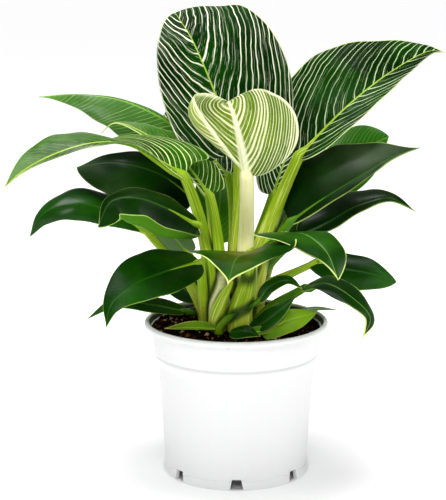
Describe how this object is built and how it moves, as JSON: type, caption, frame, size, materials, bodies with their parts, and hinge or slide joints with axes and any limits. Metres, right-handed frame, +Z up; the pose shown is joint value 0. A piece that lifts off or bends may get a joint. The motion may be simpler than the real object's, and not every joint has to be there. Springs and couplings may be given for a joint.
{
  "type": "potted philodendron",
  "caption": "Tapered white nursery pot with a bead rim and a notched foot, filled with soil and a clump of philodendron with pale-striped and plain green leaves on upright stalks.",
  "frame": {"origin": "on the pot's axis at the level of the surface that its foot stands on, which is also the middle of the bounding box's base", "axes": "+Z up along the pot's axis, -Y towards the front of the plant, +X to its right"},
  "size_m": [0.276, 0.194, 0.3012],
  "materials": {
    "pot_plastic": "satin",
    "soil": "matte",
    "leaf_striped": "satin",
    "leaf_young": "satin",
    "leaf_dark": "gloss",
    "leaf_fresh": "satin",
    "leaf_pale": "satin",
    "leaf_grey": "matte",
    "stalk_green": "satin",
    "stalk_cream": "satin"
  },
  "bodies": {
    "root": {"pot": "pot_plastic", "soil": "soil", "stem": "stalk_green", "leaf_01_petiole": "stalk_green", "leaf_01_blade": "leaf_striped", "leaf_02_petiole": "stalk_green", "leaf_02_blade": "leaf_striped", "leaf_03_petiole": "stalk_cream", "leaf_03_blade": "leaf_young", "leaf_04_petiole": "stalk_green", "leaf_04_blade": "leaf_striped", "leaf_05_petiole": "stalk_green", "leaf_05_blade": "leaf_striped", "leaf_06_petiole": "stalk_green", "leaf_06_blade": "leaf_fresh", "leaf_07_petiole": "stalk_green", "leaf_07_blade": "leaf_dark", "leaf_08_petiole": "stalk_green", "leaf_08_blade": "leaf_dark", "leaf_09_petiole": "stalk_green", "leaf_09_blade": "leaf_dark", "leaf_10_petiole": "stalk_green", "leaf_10_blade": "leaf_dark", "leaf_11_petiole": "stalk_green", "leaf_11_blade": "leaf_dark", "leaf_12_petiole": "stalk_green", "leaf_12_blade": "leaf_dark", "leaf_13_petiole": "stalk_green", "leaf_13_blade": "leaf_dark", "leaf_14_petiole": "stalk_green", "leaf_14_blade": "leaf_striped", "leaf_15_petiole": "stalk_green", "leaf_15_blade": "leaf_fresh", "leaf_16_petiole": "stalk_green", "leaf_16_blade": "leaf_dark", "leaf_17_petiole": "stalk_green", "leaf_17_blade": "leaf_dark", "leaf_18_petiole": "stalk_green", "leaf_18_blade": "leaf_dark", "leaf_19_petiole": "stalk_green", "leaf_19_blade": "leaf_fresh", "leaf_20_petiole": "stalk_green", "leaf_20_blade": "leaf_striped", "leaf_21_petiole": "stalk_green", "leaf_21_blade": "leaf_dark", "leaf_22_petiole": "stalk_green", "leaf_22_blade": "leaf_grey", "leaf_23_petiole": "stalk_green", "leaf_23_blade": "leaf_dark", "cataphyll_01": "stalk_green", "cataphyll_02": "stalk_green", "cataphyll_03": "stalk_cream", "basal_leaf_01": "leaf_dark", "basal_leaf_02": "leaf_pale", "basal_leaf_03": "leaf_grey", "basal_leaf_04": "leaf_dark", "basal_leaf_05": "leaf_pale", "basal_leaf_06": "leaf_dark", "basal_leaf_07": "leaf_pale", "basal_leaf_08": "leaf_dark"}
  },
  "joints": []
}
